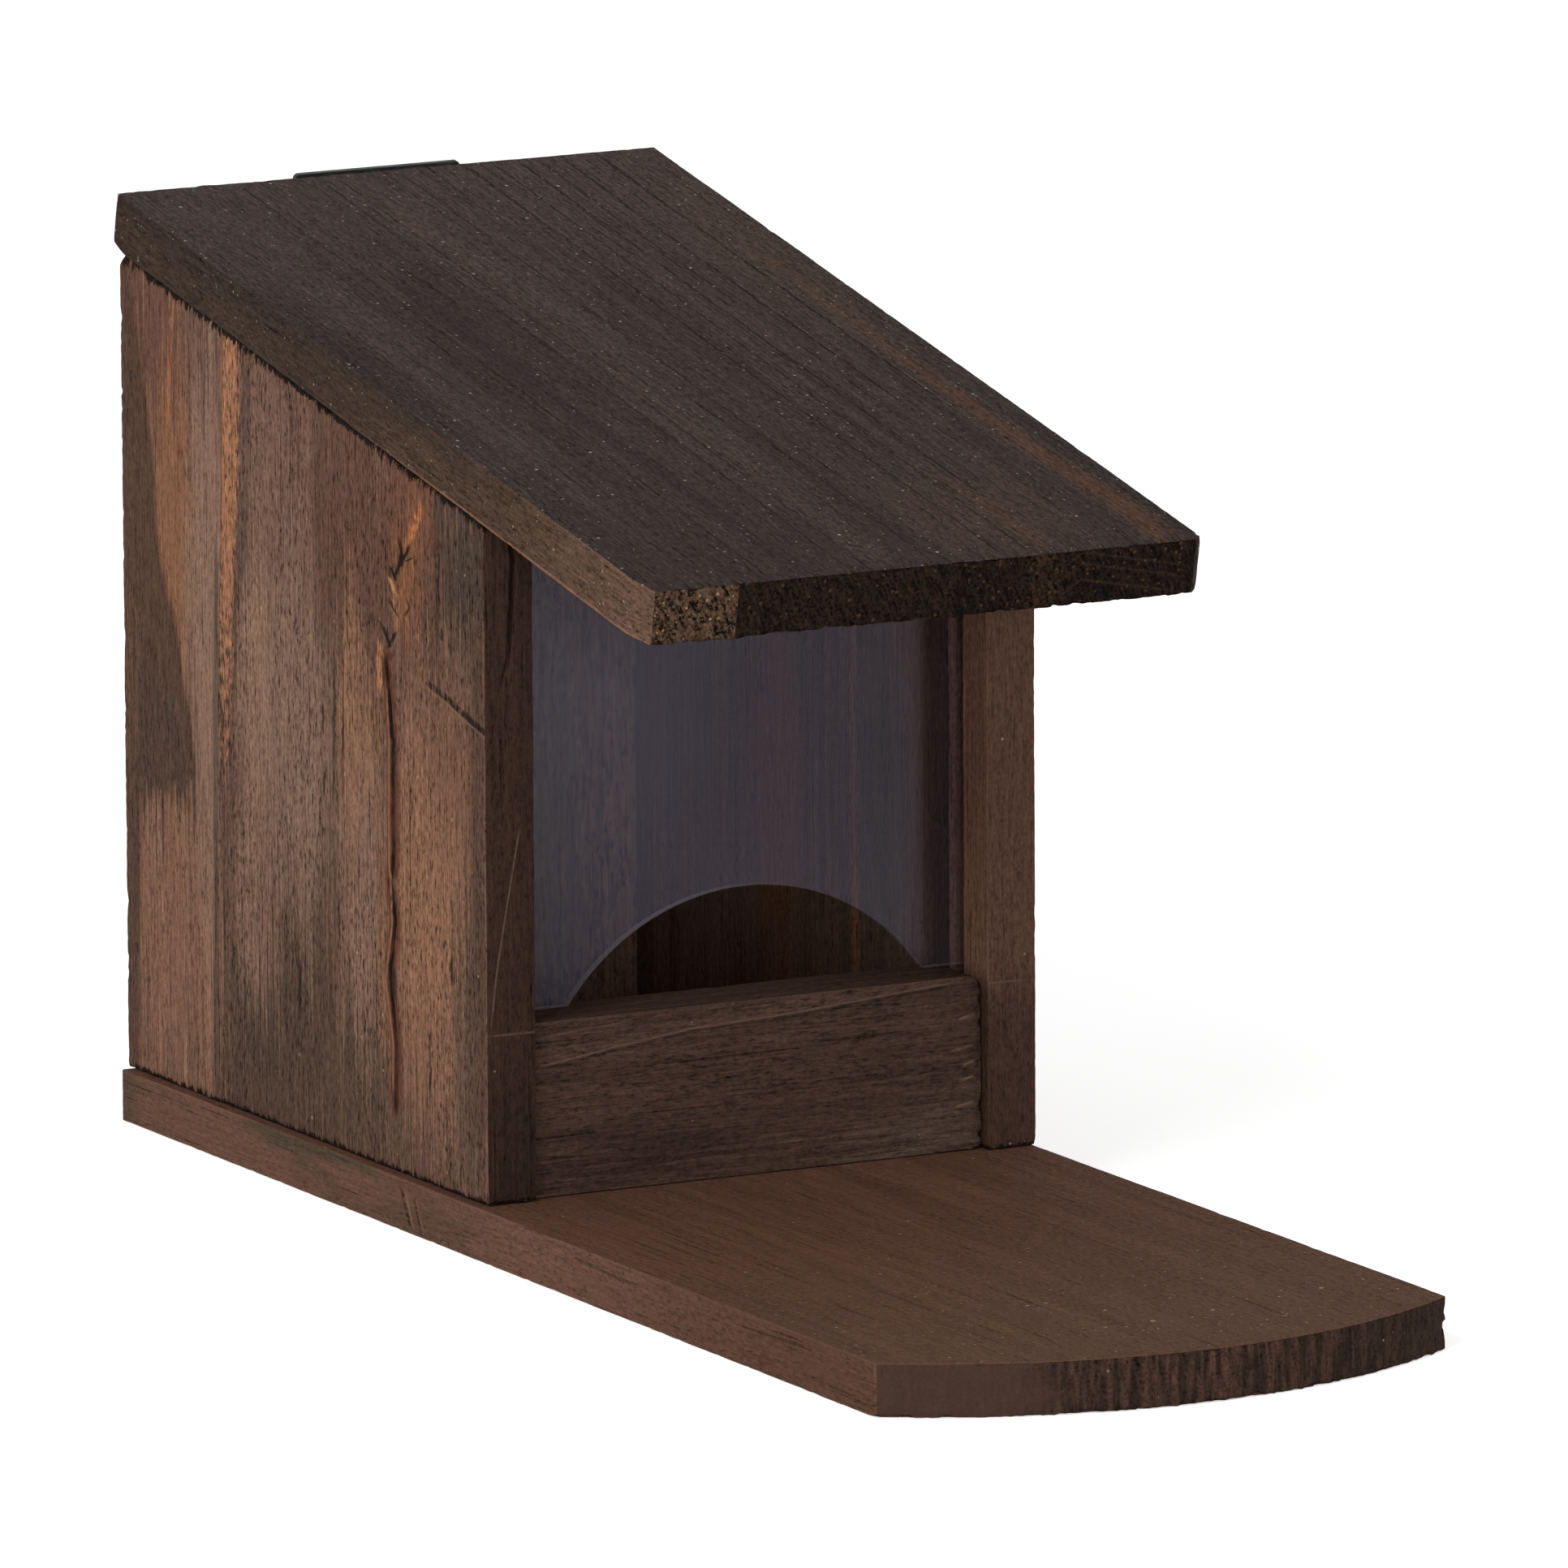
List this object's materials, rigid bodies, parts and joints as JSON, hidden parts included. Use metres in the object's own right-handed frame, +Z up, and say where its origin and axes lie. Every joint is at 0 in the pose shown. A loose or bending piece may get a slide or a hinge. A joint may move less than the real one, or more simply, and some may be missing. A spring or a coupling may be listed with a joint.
{
  "type": "squirrel feeder box",
  "caption": "Small wooden squirrel feeder with a sloping hinged lid, a clear pane with an arched mouth over a low rail, and a long feeding platform with a bowed front.",
  "frame": {"origin": "under the middle of the bounding box, on the plane that the base board rests on", "axes": "+Z up, +X to the right as seen from the front, and the platform towards -Y, with the hinged rear towards +Y"},
  "size_m": [0.12, 0.3358, 0.184],
  "materials": {
    "wall_wood": "brown stain, worn, matt",
    "lid_wood": "dark brown stain, matt",
    "base_wood": "dark red-brown stain, matt",
    "acrylic": "clear, slightly scuffed",
    "black_steel": "black, satin",
    "zinc_steel": "zinc plated"
  },
  "bodies": {
    "house": {"base_board": "base_wood", "left_wall_front_stave": "wall_wood", "left_wall_rear_stave": "wall_wood", "right_wall": "wall_wood", "back_panel": "wall_wood", "front_rail": "base_wood", "front_pane": "acrylic", "hinge_back_leaf": "black_steel", "hinge_pin": "black_steel", "hinge_back_screw_left": "black_steel", "hinge_back_screw_right": "black_steel", "wall_screw_left_rear": "zinc_steel", "wall_screw_left_front": "zinc_steel", "wall_screw_right_rear": "zinc_steel", "wall_screw_right_front": "zinc_steel", "rail_screw_left": "zinc_steel", "rail_screw_right": "zinc_steel", "brad_left_bottom": "zinc_steel", "brad_left_middle": "zinc_steel", "brad_left_top": "zinc_steel", "brad_right_bottom": "zinc_steel", "brad_right_middle": "zinc_steel", "brad_right_top": "zinc_steel"},
    "lid": {"lid_left_stave": "lid_wood", "lid_middle_stave": "lid_wood", "lid_right_stave": "lid_wood", "hinge_lid_leaf": "black_steel", "hinge_lid_screw_left": "black_steel", "hinge_lid_screw_right": "black_steel"}
  },
  "joints": [
    {"name": "lid_hinge", "type": "hinge", "parent": "house", "child": "lid", "pos_m": [-0.0022, 0.16585, 0.17259], "axis": [-1, 0, 0], "range_deg": [0, 180]}
  ]
}
